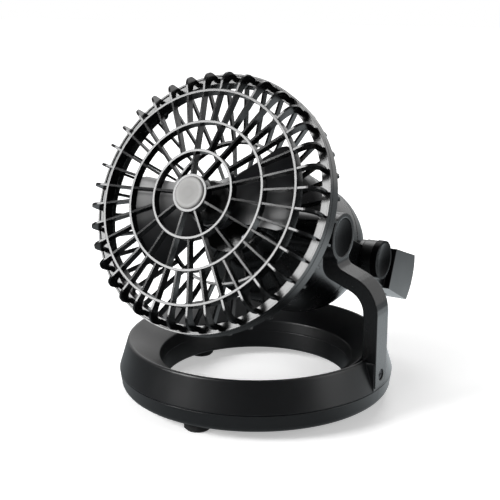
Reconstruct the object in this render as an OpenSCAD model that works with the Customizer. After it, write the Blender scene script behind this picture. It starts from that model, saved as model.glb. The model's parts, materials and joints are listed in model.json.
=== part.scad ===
// Portable camping fan: a caged fan head on a single arm that stands in a round, open base ring.
// Lengths are millimetres. The origin is on the floor under the middle of the fan's footprint,
// +Z is up and the fan blows towards -Y. Pieces of the head are drawn in the head's own frame,
// which has its origin on the tilt axis, +Z forward along the fan axis and +Y up.

/* [Base ring] */
// Greatest radius of the ring, at the line where its two shells meet
ring_r = 84; // [82:0.5:88]
// Radius of the ring's upper outer edge
ring_top_r = 78.8; // [77.6:0.2:79.6]
// Radius of the hole at the lip of the dished top
ring_lip_r = 59; // [57:0.5:60.5]
// Radius of the hole at the underside
ring_hole_r = 55.5; // [53:0.5:56.5]
// Height of the underside above the floor
ring_under_z = 5.5; // [4.5:0.25:6.5]
// Height of the line where the two shells meet
ring_split_z = 17; // [16:0.25:18]
// Height of the lip around the hole
ring_lip_z = 24.5; // [23:0.5:26]
// Height of the upper outer edge
ring_top_z = 35; // [33.5:0.5:37]
// Wall thickness of both shells
ring_wall = 2.4; // [2:0.1:2.8]
// Number of rubber feet
foot_count = 3; // [3:1:4]
// Radius of one foot
foot_r = 8; // [6:0.5:9]
// Bearing of the first foot, anticlockwise from +X
foot_bearing = -87; // [-95:1:-80]

/* [Arm] */
// Height of the tilt axis above the floor
pivot_z = 103.5; // [101:0.5:106]
// Thickness of the arm's strap
arm_t = 8.8; // [8:0.1:9.2]
// Width of the arm's strap
arm_w = 15; // [13:0.5:16]
// Height of the arm's lower end
arm_foot_z = 18.8; // [18.5:0.1:20]
// Height at which the strap starts to bend inward
arm_bend_z = 62; // [58:0.5:63]
// Radius of the strap's first bend, on its outer face
arm_bend_r = 22.3; // [20:0.1:24]
// Rise of the sloping stretch above the level, in degrees
arm_slope = 22; // [18:1:26]
// Radius of the round eye at the arm's upper end
eye_r = 14; // [13:0.25:14.5]
// Distance of the eye's outer face from the middle of the fan
eye_x = 58.4; // [57.8:0.1:59.5]

/* [Front grille] */
// Angle of the fan axis above the level
tilt = 24.6; // [18:0.2:30]
// Radius of the grille's flange
flange_r = 74.2; // [73.6:0.1:74.8]
// Radius of the inner ring
ring1_r = 24.4; // [22:0.2:27]
// Radius of the middle ring
ring2_r = 41.5; // [38:0.5:45]
// Radius of the outer ring
ring3_r = 60.2; // [59.4:0.1:61]
// Radius of the hub behind the badge
grille_hub_r = 10.6; // [10.2:0.1:12]
// Radius of the badge
badge_r = 8.9; // [8:0.1:9.4]
// Distance of the badge's face in front of the tilt axis
badge_z = 77.6; // [77:0.1:78.5]
// Distance of the outer ring's front edge in front of the tilt axis
ring3_z = 70.5; // [69.5:0.1:71.5]
// Distance of the flange's rim in front of the tilt axis
rim_z = 57.5; // [57:0.1:58]
// Thickness of one rib
rib_t = 1.35; // [1.1:0.05:1.6]
// Depth of one rib, from its front edge to its back edge
rib_depth = 4.4; // [3.6:0.1:4.8]
// Width of a ring's front edge
ring_t = 1.4; // [1.3:0.1:2]
// Depth of the inner and middle rings
ring_depth = 5; // [4.8:0.1:5.4]
// Depth of the outer ring
ring3_depth = 7; // [5:0.25:7.25]

/* [Rear grille] */
// Radius of the rear grille's hub
rear_hub_r = 22.5; // [21.5:0.25:23]
// Radius of the rear grille's ring, inside which every second rib ends
rear_ring_r = 42; // [38:0.5:48]
// Radius of the rounded corner of a rear rib, behind the flange
rear_corner_r = 3; // [2:0.25:3.5]

/* [Fan] */
// Radius at the tip of the two blades
blade_r = 54; // [50:0.5:58]
// Thickness of one blade
blade_t = 1.6; // [1.2:0.1:2]
// Pitch in the middle of a blade, in degrees
blade_pitch = 14; // [11:1:15]
// Radius of a blade's camber
blade_camber_r = 150; // [140:5:200]
// Bearing of the first blade in the head's frame
blade_bearing = 20; // [0:1:60]
// Radius of the fan's hub
hub_r = 13; // [12:0.25:14]

/* [Battery housing] */
// Outer radius of the drum
drum_r = 43; // [42.9:0.05:43.1]
// Wall thickness of the drum
drum_wall = 2.4; // [2.3:0.05:2.5]
// Outer radius of the neck behind the grille
neck_r = 24; // [23.5:0.25:25]
// Distance of the drum's open end behind the tilt axis
drum_end = 55; // [54.5:0.25:55.5]
// Distance of the door's tip behind the tilt axis
door_end = 100; // [99:0.5:101]
// Radius of one cell
cell_r = 17; // [16.5:0.05:17.05]
// Length of one cell over its contact
cell_len = 61.5; // [60.5:0.25:61.75]

/* [Handle] */
// Distance of the handle's hinge behind the tilt axis
hinge_s = 65; // [64.5:0.25:65.5]
// Distance of the grip's back behind the tilt axis
grip_end = 122.5; // [121:0.1:124]
// Distance of the grip's front behind the tilt axis
grip_start = 111; // [111:0.1:112]
// Height of the grip's back above the fan axis
grip_top = 14.3; // [13:0.1:15]
// Depth of the grip's back below the fan axis
grip_bottom = 16.3; // [15.5:0.1:17]
// Half of the handle's width
handle_x = 57; // [56.5:0.1:57.5]
// Radius of the round caps on the hinge
hinge_cap_r = 12.2; // [11.8:0.1:12.8]
// Radius of the eyes that turn on the hinge pins
hinge_eye_r = 11.7; // [11:0.1:12]

/* [Hidden] */

$fn = 96;
// Overlap used where one shape is joined to or cut from another
bite = 0.05;
// Radial clearance of pieces that turn on a pin
run_gap = 0.05;
// Clearance of pieces that fit together and stay put
fit_gap = 0.15;
// Gap between pieces that move past each other
move_gap = 0.3;

black = [0.09, 0.09, 0.1];
smoke = [0.2, 0.21, 0.23];
silver = [0.62, 0.61, 0.6];
steel = [0.7, 0.71, 0.72];
brass = [0.75, 0.6, 0.3];
copper = [0.7, 0.4, 0.25];

// Base ring
ring_edge_r = 1.4;
lip_edge_r = 2;
under_edge_r = 4.5;
under_inset = 1;
hole_edge = 1.5;
hole_mid_r = ring_hole_r
    + (ring_lip_r - ring_hole_r) * (ring_split_z - ring_under_z) / (ring_lip_z - ring_under_z);
seam = 0.5;
foot_place_r = 70;
foot_seat = 0.6;
foot_edge = 1.2;
screw_bearing = foot_bearing + 180 / foot_count;
screw_place_r = 70;
post_r = 4.4;
post_seat = 4;
base_screw_r = 1.5;
base_screw_len = 14;
base_screw_head_r = 3;
base_screw_head_t = 2;

// Arm and its socket in the ring
arm_out_x = ring_r + 0.3;
arm_in_x = arm_out_x - arm_t;
arm_bend_x = arm_out_x - arm_bend_r;
arm_elbow_out_r = 4;
arm_elbow_in_r = 8;
collar_wall = 0.8;
collar_half = arm_w / 2 + fit_gap + collar_wall;
collar_out_x = ring_r - 0.2;
collar_in_x = ring_top_r - 2.4;
collar_top_z = ring_top_z - 1.2;
block_in_x = arm_in_x - 7.5;
pocket_half = 12;
pocket_len = 9.5;
pocket_depth = 3;
pocket_floor = 2;
dish_slope = atan((ring_top_z - ring_lip_z) / (ring_top_r - ring_lip_r));
arm_screw_z = 25;
arm_screw_r = 1.5;
arm_screw_len = 11;
arm_screw_head_r = 3.1;
arm_screw_head_t = 2.2;
arm_screw_seat = 2.8;

// Tilt axis
eye_t = 9.2;
eye_in_x = eye_x - eye_t;
friction_t = 0.6;
boss_x = eye_in_x - 0.1 - friction_t;
bolt_r = 4;
boss_in_x = 12;
boss_r = 13.3;
bolt_head_r = 6.4;
bolt_head_t = 2.4;
bolt_in_x = 24.4;
washer_t = 0.8;
washer_seat_x = eye_in_x + 3;
bolt_seat_x = washer_seat_x + 0.1 + washer_t;
counterbore_r = 7.2;
cap_r = 11.4;
cap_t = 2.1;
cap_rim = 0.6;
cap_seat_x = eye_x - 2.5;
cap_dish = 1.3;
nut_x = 26.4;
nut_t = 4.5;
nut_r = 7;

// Front grille, from the hub outward; ribs stand back from the rings' front edges
hub_face_z = badge_z - 1;
hub_depth = 6;
hub_wall = 2;
ring1_z = badge_z - 3;
ring2_z = badge_z - 5.4;
rib_inset = 0.3;
rim_t = 1;
flange_z = rim_z - 0.7;
flange_t = 2.2;
flange_in_r = flange_r - 5.2;
flange_split_z = flange_z - flange_t;
fin_round = 7.1;
fin_turn_r = flange_r - 8.2;
fin_turn_z = ring3_z - rib_inset - fin_round;
fin_foot_r = flange_r - 1.9;
fin_foot_a = fin_turn_r + fin_round - fin_foot_r;
fin_foot_b = fin_turn_z - flange_z - 0.6;
fin_foot_in_r = flange_r - 4.6;
fin_in_z = rim_z + 2.7;
fin_in_a = fin_foot_in_r + 0.1 - ring3_r;
fin_in_b = 5.2;
inner_rib_count = 9;
middle_rib_count = 18;
rib_count = 36;

// Rear grille
rear_back_z = flange_split_z - 6.6;
rear_wall = 2.4;
rear_spigot = 3;
groove = 0.5;
rear_hub_z = 30;
rear_hub_t = 3;
rear_hub_back_z = rear_hub_z - rear_hub_t;
rear_rib_depth = 3.4;
rear_rib_out_r = flange_r - 0.2;
rear_rib_in_r = rear_rib_out_r - 3.5;
rear_corner_z = rear_back_z - 3;
rear_rib_top = rear_corner_z + 0.4;
rear_ring_z = rear_hub_z + 4.2;
flange_screw_count = 4;
flange_screw_r = flange_r - 3.8;
flange_screw_bearing = 45;
flange_boss_r = 2.9;
flange_shank_r = 1.1;
flange_head_r = 2.2;
flange_head_t = 1.3;
flange_screw_len = 8.4;

// Fan and motor
blade_z = 51;
blade_root_r = 9;
blade_root_half = 12;
blade_corner_r = 9;
blade_corner_a = 22;
blade_corner_sweep = 100;
blade_reach = 20;
fan_hub_z = 54.6;
fan_hub_back_z = 44;
fan_hub_wall = 2.2;
fan_boss_r = 3.6;
fan_boss_back_z = 37;
spinner_rise = 4.4;
shaft_r = 1.15;
shaft_gap = 0.02;
shaft_front_z = 53;
shaft_back_z = -4.2;
motor_r = 12.2;
motor_wall = 1;
motor_back_z = -4;
nose_r = 5;
nose_t = 2;
bush_r = 2.8;
magnet_t = 1.8;
magnet_sweep = 140;
core_r = 8.9;
core_back_z = 6;
core_front_z = 22;
winding_r = 5.4;
winding_over = 2.6;
slot_w = 1.6;
comm_r = 2.6;
bell_t = 1;
bell_floor = 0.6;
bell_spigot = 3;
motor_screw_place_r = 8;
motor_screw_r = 1;
motor_screw_len = 4.5;
motor_screw_head_r = 1.9;
motor_screw_head_t = 1.2;
neck_screw_place_r = 18.5;
neck_screw_r = 1.2;
neck_screw_len = 11;
neck_screw_head_r = 2.3;
neck_screw_head_t = 1.4;
neck_boss_r = 3.6;
neck_boss_back_z = 14;

// Battery housing
neck_fillet_r = 8;
neck_fillet_z = 8;
shoulder_r = 10;
shoulder_z = -14;
shoulder_a = 55;
bulkhead_z = -7.9;
bulkhead_t = 1.8;
bay_z = bulkhead_z - bulkhead_t;
bay_r = drum_r - drum_wall;
cell_place_r = 2 * cell_r / sqrt(3) + 0.2;
cell_front_z = -12.5;
cell_back_z = cell_front_z - cell_len;
cell_nub_r = 4.8;
cell_nub_t = 1.6;
cradle_t = 2;
cradle_back_z = -48.5;
spring_wire_r = 0.5;
spring_r = 5;
spring_coils = 3;
lug_x = 46.2;
lug_root_x = 38;
lug_start_s = 17;
lug_top = 6;
lug_bottom = 10.9;
lug_clear = 0.4;
lug_step = 0.4;

// Battery door
gasket_t = 0.8;
door_z = -drum_end - gasket_t;
door_rim = 2.2;
dome_z = door_z - door_rim;
dome_b = door_end + dome_z;
door_wall = 2.4;
spigot_r = bay_r - move_gap;
spigot_in_r = 38.2;
spigot_z = -50;
door_bore_r = 37.2;
contact_step_z = -74.6;
contact_plate_r = 35.8;
ledge_z = -77;
ledge_r = 33;
bayonet_count = 3;
bayonet_r = bay_r + 1;
bayonet_w = 12;
bayonet_back_z = -53.2;
bayonet_front_z = -51.2;
bayonet_bearing = -6;
bayonet_turn = 25;
bayonet_margin = 2;
contact_t = 0.6;

// Switch on top of the drum
switch_z = -33;
switch_travel = 8;
switch_seat_y = drum_r - 1;
stem_w = 3;
stem_len = 4;
stem_depth = 5;
knob_w = 9;
knob_len = 12;
knob_t = 2.2;
knob_ridges = 4;
switch_box_w = 14;
switch_box_len = 22;
switch_box_t = 7;
switch_box_y = bay_r - 0.9;

// Handle
cheek_x = lug_x + move_gap;
cheek_t = 7.5;
cheek_out_x = cheek_x + cheek_t;
hinge_cap_t = 4;
hinge_cap_rim = 1.6;
hinge_cap_dish = 2;
hinge_cap_spigot = 0.8;
hinge_pin_r = 3;
hinge_head_r = 6.4;
hinge_head_t = 2.4;
hinge_seat_x = cheek_x + 3.6;
hinge_counterbore_r = 7.2;
neck_out_x = 53;
neck_edge = 0.4;
leg_start_s = hinge_s + 20.3;
leg_top = grip_top - 3;
leg_bottom = grip_bottom - 1.3;
grip_round = 33.5;
grip_mid = (grip_top - grip_bottom) / 2;
grip_half = (grip_top + grip_bottom) / 2;
grip_corner_a = asin(grip_half / grip_round);
grip_corner_s = grip_end - grip_round + grip_round * cos(grip_corner_a);
pad_half = 34;
pad_inset = 1.4;
pad_proud = 0.3;
pad_w = 6;

// Stand: the ring and the arm are set back so that the footprint's middle is the origin
front_reach = fin_turn_r * sin(tilt) + fin_turn_z * cos(tilt) + fin_round;
back_reach = (grip_end - grip_round) * cos(tilt) + grip_round + grip_mid * sin(tilt);
stand_y = (front_reach - back_reach) / 2;

// ---------- shared shapes ----------

// Points of an arc about [cx, cy] from angle a0 to a1 in equal steps
function arc(cx, cy, r, a0, a1, steps = 8) = oval_arc(cx, cy, r, r, a0, a1, steps);

// Points of an elliptic arc about [cx, cy] from angle a0 to a1 in equal steps
function oval_arc(cx, cy, rx, ry, a0, a1, steps = 8) = [
    for (i = [0 : steps])
        let (a = a0 + (a1 - a0) * i / steps)
            [cx + rx * cos(a), cy + ry * sin(a)]
];

// Height of the centre of an arc that joins the arm's slope through p to the upright face at x
function elbow_z(x, r, p) = p[1] + (r - (x + r - p[0]) * sin(arm_slope)) / cos(arm_slope);

// Places children in the frame of the base ring
module stand() {
    translate([0, stand_y, 0])
        children();
}

// Places children in the frame of the tilted head
module head() {
    translate([0, stand_y, pivot_z])
        rotate([90 - tilt, 0, 0])
            children();
}

// Repeats children around +Z
module around(count, first = 0) {
    for (i = [0 : count - 1])
        rotate([0, 0, first + i * 360 / count])
            children();
}

// Repeats children on the +X and -X sides
module both_sides() {
    children();
    mirror([1, 0, 0])
        children();
}

// Plate that stands across the radius; its outline is drawn in (radius, z)
module radial_plate(thickness) {
    rotate([90, 0, 0])
        linear_extrude(height = thickness, center = true)
            children();
}

// Extrudes an outline drawn in (y, z) along X
module along_x(x, length) {
    translate([x, 0, 0])
        rotate([90, 0, 90])
            linear_extrude(height = length)
                children();
}

// Round bar along X through [y, z]
module x_bar(x, length, r, y = 0, z = 0) {
    translate([x, y, z])
        rotate([0, 90, 0])
            cylinder(h = length, r = r);
}

// Washer or sleeve along X
module x_tube(x, length, r_out, r_in) {
    difference() {
        x_bar(x, length, r_out);
        x_bar(x - bite, length + 2 * bite, r_in);
    }
}

// Round cap along X from its seat at x, with a dished face inside a flat rim
module dished_cap(x, length, r, rim, dish) {
    dish_w = r - rim;
    dish_r = (dish_w * dish_w + dish * dish) / (2 * dish);
    a = asin(dish_w / dish_r);
    translate([x, 0, 0])
        rotate([0, 90, 0])
            rotate_extrude()
                polygon(concat(
                    [[0, 0], [r, 0], [r, length]],
                    arc(0, length + dish_r - dish, dish_r, a - 90, -90, 6)));
}

// Ring around +Z
module tube(z, length, r_out, r_in) {
    translate([0, 0, z])
        difference() {
            cylinder(h = length, r = r_out);
            translate([0, 0, -bite])
                cylinder(h = length + 2 * bite, r = r_in);
        }
}

// Screw along +Z with a cross recess: its head ends at z = 0 and its shank points up
module screw(length, r, head_r, head_t) {
    difference() {
        union() {
            translate([0, 0, -head_t / 2])
                cylinder(h = head_t / 2 + length, r = r);
            translate([0, 0, -head_t])
                cylinder(h = head_t, r = head_r);
        }
        for (turn = [0, 90])
            rotate([0, 0, turn])
                translate([-head_r * 0.6, -head_r * 0.12, -head_t - bite])
                    cube([head_r * 1.2, head_r * 0.24, head_t * 0.6]);
    }
}

// ---------- base ring ----------

// Upper half of the ring's section, without its hollow
module upper_section() {
    polygon(concat(
        [[ring_r, ring_split_z]],
        arc(ring_top_r - ring_edge_r, ring_top_z - ring_edge_r, ring_edge_r, 16, 90 + dish_slope, 6),
        arc(ring_lip_r + lip_edge_r, ring_lip_z - lip_edge_r, lip_edge_r, 90 + dish_slope, 175, 5),
        [[hole_mid_r, ring_split_z]]));
}

// Hollow of the upper shell
module upper_hollow() {
    rotate_extrude()
        polygon([
            [ring_r - ring_wall, ring_split_z - bite],
            [ring_top_r - ring_wall - 0.6, ring_top_z - ring_wall - 1.6],
            [ring_lip_r + ring_wall + 0.6, ring_lip_z - ring_wall - 0.5],
            [hole_mid_r + ring_wall, ring_split_z - bite]]);
}

// Lower half of the ring's section, without its hollow
module lower_section() {
    polygon(concat(
        [[ring_r, ring_split_z]],
        arc(ring_r - under_inset - under_edge_r, ring_under_z + under_edge_r, under_edge_r, 0, -90, 6),
        [[ring_hole_r + hole_edge, ring_under_z],
            [ring_hole_r, ring_under_z + hole_edge],
            [hole_mid_r, ring_split_z]]));
}

// Hollow of the lower shell
module lower_hollow() {
    floor_z = ring_under_z + ring_wall;
    rotate_extrude()
        polygon([
            [ring_r - ring_wall, ring_split_z + bite],
            [ring_r - under_inset - ring_wall, ring_under_z + under_edge_r],
            [ring_r - under_inset - under_edge_r, floor_z],
            [ring_hole_r + ring_wall + 0.6, floor_z],
            [hole_mid_r + ring_wall, ring_split_z + bite]]);
}

// Round posts for the screws that join the shells
module ring_posts(z, length, r) {
    around(foot_count, screw_bearing)
        translate([screw_place_r, 0, z])
            cylinder(h = length, r = r);
}

// Walls that hold the arm: a collar on the outside and a block in the hollow
module arm_collar() {
    translate([collar_in_x, -collar_half, ring_split_z])
        cube([collar_out_x - collar_in_x, 2 * collar_half, collar_top_z - ring_split_z]);
}

module arm_block() {
    translate([block_in_x, -pocket_half - pocket_floor, ring_split_z])
        cube([collar_out_x - block_in_x, 2 * (pocket_half + pocket_floor), ring_top_z]);
}

// Slot that the arm slides into from outside
module arm_slot() {
    translate([arm_in_x - fit_gap, -arm_w / 2 - fit_gap, arm_foot_z - fit_gap])
        cube([arm_t * 2, arm_w + 2 * fit_gap, ring_top_z]);
}

// Shallow pocket in the dished top beside the arm
module arm_pocket() {
    translate([ring_top_r - ring_edge_r, 0, ring_top_z])
        rotate([0, -dish_slope, 0])
            translate([-pocket_len - 3, -pocket_half, -pocket_depth])
                cube([pocket_len, 2 * pocket_half, 2 * pocket_depth]);
}

module base_upper_shell() {
    color(black)
        stand()
            difference() {
                union() {
                    rotate_extrude()
                        upper_section();
                    arm_collar();
                }
                difference() {
                    upper_hollow();
                    ring_posts(ring_split_z - 1, ring_top_z, post_r);
                    arm_block();
                }
                ring_posts(ring_split_z - 1, 9, base_screw_r);
                arm_slot();
                arm_pocket();
                x_bar(block_in_x + 1, arm_t, arm_screw_r, 0, arm_screw_z);
            }
}

module base_lower_shell() {
    seat_z = ring_under_z + post_seat;
    color(black)
        stand()
            difference() {
                rotate_extrude()
                    lower_section();
                difference() {
                    lower_hollow();
                    ring_posts(ring_under_z, ring_split_z, post_r);
                }
                tube(ring_split_z - seam, 2 * seam, ring_r + 1, ring_r - 2 * seam);
                ring_posts(ring_under_z - 1, ring_split_z, base_screw_r + fit_gap);
                ring_posts(ring_under_z - 1, seat_z - ring_under_z + 1, base_screw_head_r + fit_gap);
                around(foot_count, foot_bearing)
                    translate([foot_place_r, 0, ring_under_z - 1])
                        cylinder(h = 1 + foot_seat, r = foot_r + fit_gap);
            }
}

module rubber_feet() {
    color(smoke)
        stand()
            around(foot_count, foot_bearing)
                translate([foot_place_r, 0, 0])
                    rotate_extrude()
                        polygon([[0, 0], [foot_r - foot_edge, 0], [foot_r, foot_edge],
                            [foot_r, ring_under_z + foot_seat], [0, ring_under_z + foot_seat]]);
}

module base_screws() {
    color(steel)
        stand()
            around(foot_count, screw_bearing)
                translate([screw_place_r, 0, ring_under_z + post_seat])
                    screw(base_screw_len, base_screw_r - shaft_gap, base_screw_head_r,
                        base_screw_head_t);
}

// ---------- arm ----------

// Outline of the strap in (x, z): up, inward along the slope and up again to the eye
module arm_outline() {
    in_r = arm_bend_r - arm_t;
    turn = 90 - arm_slope;
    out_p = [arm_bend_x + arm_bend_r * cos(turn), arm_bend_z + arm_bend_r * sin(turn)];
    in_p = [arm_bend_x + in_r * cos(turn), arm_bend_z + in_r * sin(turn)];
    polygon(concat(
        [[arm_out_x, arm_foot_z]],
        arc(arm_bend_x, arm_bend_z, arm_bend_r, 0, turn),
        arc(eye_x + arm_elbow_out_r, elbow_z(eye_x, arm_elbow_out_r, out_p), arm_elbow_out_r,
            180 + turn, 180, 5),
        [[eye_x, pivot_z], [eye_in_x, pivot_z]],
        arc(eye_in_x + arm_elbow_in_r, elbow_z(eye_in_x, arm_elbow_in_r, in_p), arm_elbow_in_r,
            180, 180 + turn, 5),
        arc(arm_bend_x, arm_bend_z, in_r, turn, 0),
        [[arm_in_x, arm_foot_z]]));
}

module support_arm() {
    color(black)
        stand()
            difference() {
                union() {
                    rotate([90, 0, 0])
                        linear_extrude(height = arm_w, center = true)
                            arm_outline();
                    x_bar(eye_in_x, eye_t, eye_r, 0, pivot_z);
                }
                x_bar(eye_in_x - 1, eye_t, bolt_r + run_gap, 0, pivot_z);
                x_bar(washer_seat_x, eye_t, counterbore_r, 0, pivot_z);
                x_bar(cap_seat_x, eye_t, cap_r, 0, pivot_z);
                x_bar(arm_in_x - 1, arm_t + 2, arm_screw_r + fit_gap, 0, arm_screw_z);
                x_bar(arm_out_x - arm_screw_seat, arm_t, arm_screw_head_r + 0.3, 0, arm_screw_z);
            }
}

module arm_screw() {
    color(steel)
        stand()
            translate([arm_out_x - arm_screw_seat, 0, arm_screw_z])
                rotate([0, -90, 0])
                    screw(arm_screw_len, arm_screw_r - shaft_gap, arm_screw_head_r,
                        arm_screw_head_t);
}

// Round cap with a dished face, which closes the arm's eye
module pivot_cap() {
    color(black)
        stand()
            translate([0, 0, pivot_z])
                dished_cap(cap_seat_x, cap_t, cap_r - fit_gap, cap_rim, cap_dish);
}

module pivot_bolt() {
    color(steel)
        head()
            difference() {
                union() {
                    x_bar(bolt_in_x, bolt_seat_x + bolt_head_t / 4 - bolt_in_x, bolt_r);
                    x_bar(bolt_seat_x, bolt_head_t, bolt_head_r);
                }
                along_x(bolt_seat_x + 1, bolt_head_t)
                    circle(r = bolt_r, $fn = 6);
            }
}

module pivot_nut() {
    color(steel)
        head()
            difference() {
                along_x(nut_x, nut_t)
                    circle(r = nut_r, $fn = 6);
                x_bar(nut_x - 1, nut_t + 2, bolt_r + shaft_gap);
            }
}

module spring_washer() {
    color(steel)
        head()
            x_tube(washer_seat_x + 0.1, washer_t, bolt_head_r, bolt_r + run_gap);
}

module friction_washer() {
    color(brass)
        head()
            x_tube(boss_x, friction_t, eye_r - 1, bolt_r + run_gap);
}

// ---------- front grille ----------

// Outline of a rib from [r0, z0] to [r1, z1], both on its front edge
module rib_outline(r0, z0, r1, z1) {
    polygon([[r0, z0 - rib_inset], [r1, z1 - rib_inset],
        [r1, z1 - rib_inset - rib_depth], [r0, z0 - rib_inset - rib_depth]]);
}

// Outline of a fin that runs out from the outer ring and turns back to its foot on the flange
module fin_outline() {
    polygon(concat(
        [[ring3_r, fin_turn_z + fin_round]],
        arc(fin_turn_r, fin_turn_z, fin_round, 90, 0, 10),
        oval_arc(fin_foot_r, fin_turn_z, fin_foot_a, fin_foot_b, -15, -90, 5),
        [[fin_foot_r, flange_z - 1], [fin_foot_in_r, flange_z - 1]],
        oval_arc(ring3_r, fin_in_z, fin_in_a, fin_in_b, 0, 90, 10)));
}

module front_grille() {
    color(black)
        head()
            difference() {
                union() {
                    translate([0, 0, hub_face_z - hub_depth])
                        cylinder(h = hub_depth, r = grille_hub_r);
                    tube(ring1_z - ring_depth, ring_depth, ring1_r + ring_t / 2, ring1_r - ring_t / 2);
                    tube(ring2_z - ring_depth, ring_depth, ring2_r + ring_t / 2, ring2_r - ring_t / 2);
                    tube(ring3_z - ring3_depth, ring3_depth, ring3_r + ring_t / 2,
                        ring3_r - ring_t / 2);
                    tube(flange_split_z, flange_t, flange_r, flange_in_r);
                    tube(flange_z - bite, rim_z - flange_z + bite, flange_r, flange_r - rim_t);
                    around(inner_rib_count, 180 / inner_rib_count)
                        radial_plate(rib_t)
                            rib_outline(grille_hub_r - 1, hub_face_z, ring1_r, ring1_z);
                    around(middle_rib_count)
                        radial_plate(rib_t)
                            rib_outline(ring1_r, ring1_z, ring2_r, ring2_z);
                    around(rib_count)
                        radial_plate(rib_t) {
                            rib_outline(ring2_r, ring2_z, ring3_r, ring3_z);
                            fin_outline();
                        }
                }
                translate([0, 0, badge_z - 1.8])
                    cylinder(h = hub_depth, r = badge_r + fit_gap);
                translate([0, 0, hub_face_z - hub_depth - 1])
                    cylinder(h = hub_depth - 1, r = grille_hub_r - hub_wall);
                around(flange_screw_count, flange_screw_bearing)
                    translate([flange_screw_r, 0, flange_split_z - 1])
                        cylinder(h = flange_t + 0.4, r = flange_shank_r);
            }
}

// Disc with a softly rounded edge in the middle of the grille
module centre_badge() {
    edge = 0.5;
    color(silver)
        head()
            rotate_extrude()
                polygon([[0, badge_z - 1.8], [badge_r, badge_z - 1.8], [badge_r, badge_z - edge],
                    [badge_r - edge, badge_z], [0, badge_z]]);
}

// ---------- rear grille ----------

// Outline of a rear rib's outer stretch, from the flange round its corner and in to the rear ring
module outer_rear_rib() {
    polygon(concat(
        [[rear_rib_in_r, rear_back_z + 2], [rear_rib_out_r, rear_back_z + 2]],
        arc(rear_rib_out_r - rear_corner_r, rear_corner_z, rear_corner_r, 0, -79),
        [[rear_ring_r, rear_ring_z - rear_rib_depth], [rear_ring_r, rear_ring_z],
            [rear_rib_in_r, rear_rib_top]]));
}

// Outline of a rear rib's inner stretch, from the rear ring in to the hub
module inner_rear_rib() {
    polygon([[rear_ring_r, rear_ring_z - rear_rib_depth], [rear_ring_r, rear_ring_z],
        [rear_hub_r - 1, rear_hub_z - rib_inset], [rear_hub_r - 1, rear_hub_back_z + rib_inset]]);
}

module rear_grille() {
    color(black)
        head()
            difference() {
                union() {
                    tube(rear_back_z, flange_split_z - groove - rear_back_z, flange_r,
                        flange_r - rear_wall);
                    tube(rear_back_z, flange_split_z - rear_back_z, flange_r - rear_wall + bite,
                        flange_r - rear_wall - rear_spigot);
                    around(flange_screw_count, flange_screw_bearing)
                        translate([flange_screw_r, 0, rear_back_z - rib_inset])
                            cylinder(h = flange_split_z - groove - rear_back_z, r = flange_boss_r);
                    around(rib_count)
                        radial_plate(rib_t)
                            outer_rear_rib();
                    tube(rear_ring_z - rear_rib_depth - rib_inset, rear_rib_depth + 2 * rib_inset,
                        rear_ring_r + ring_t / 2, rear_ring_r - ring_t / 2);
                    around(rib_count / 2)
                        radial_plate(rib_t)
                            inner_rear_rib();
                    translate([0, 0, rear_hub_back_z])
                        cylinder(h = rear_hub_t, r = rear_hub_r);
                }
                translate([0, 0, rear_hub_back_z - 1])
                    cylinder(h = rear_hub_t + 2, r = nose_r + fit_gap);
                around(2)
                    translate([motor_screw_place_r, 0, rear_hub_back_z - 1])
                        cylinder(h = rear_hub_t + 2, r = motor_screw_r + fit_gap);
                around(4, 45)
                    translate([neck_screw_place_r, 0, rear_hub_back_z - 1])
                        cylinder(h = rear_hub_t + 2, r = neck_screw_r + fit_gap);
                around(flange_screw_count, flange_screw_bearing)
                    translate([flange_screw_r, 0, rear_back_z - 1])
                        cylinder(h = flange_split_z, r = flange_shank_r + fit_gap);
            }
}

module grille_screws() {
    color(steel)
        head()
            around(flange_screw_count, flange_screw_bearing)
                translate([flange_screw_r, 0, rear_back_z - rib_inset])
                    screw(flange_screw_len, flange_shank_r - shaft_gap, flange_head_r,
                        flange_head_t);
}

// ---------- fan ----------

// Plan of one blade, broad at the tip and rounded at its corners
module blade_plan() {
    c = [(blade_r - blade_corner_r) * cos(blade_corner_a),
        (blade_r - blade_corner_r) * sin(blade_corner_a)];
    polygon(concat(
        [[blade_root_r, -blade_root_half]],
        arc(c[0], -c[1], blade_corner_r, -blade_corner_a - blade_corner_sweep, -blade_corner_a, 6),
        arc(0, 0, blade_r, -blade_corner_a, blade_corner_a, 10),
        arc(c[0], c[1], blade_corner_r, blade_corner_a, blade_corner_a + blade_corner_sweep, 6),
        [[blade_root_r, blade_root_half]]));
}

// One blade along +X: its plan cut from a curved sheet
module blade() {
    intersection() {
        translate([0, 0, blade_z - blade_reach])
            linear_extrude(height = 2 * blade_reach)
                blade_plan();
        translate([0, -blade_camber_r * sin(blade_pitch),
                blade_z - blade_camber_r * cos(blade_pitch)])
            x_tube(0, blade_r + 1, blade_camber_r + blade_t / 2, blade_camber_r - blade_t / 2);
    }
}

module fan_rotor() {
    color(smoke)
        head()
            difference() {
                union() {
                    difference() {
                        translate([0, 0, fan_hub_back_z])
                            cylinder(h = fan_hub_z - fan_hub_back_z, r = hub_r);
                        translate([0, 0, fan_hub_back_z - 1])
                            cylinder(h = fan_hub_z - fan_hub_back_z + 1 - fan_hub_wall,
                                r = hub_r - fan_hub_wall);
                    }
                    translate([0, 0, fan_boss_back_z])
                        cylinder(h = fan_hub_z - fan_boss_back_z, r = fan_boss_r);
                    around(2, blade_bearing)
                        difference() {
                            blade();
                            cylinder(h = fan_hub_z + blade_reach, r = hub_r - fan_hub_wall / 2);
                        }
                }
                translate([0, 0, fan_boss_back_z - 1])
                    cylinder(h = shaft_front_z + shaft_gap + 1 - fan_boss_back_z,
                        r = shaft_r + shaft_gap);
            }
}

// Domed cap on the front of the fan's hub
module spinner_cap() {
    color(black)
        head()
            rotate_extrude()
                polygon(concat([[0, fan_hub_z]],
                    oval_arc(0, fan_hub_z, hub_r - 0.3, spinner_rise, 0, 90, 10)));
}

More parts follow.
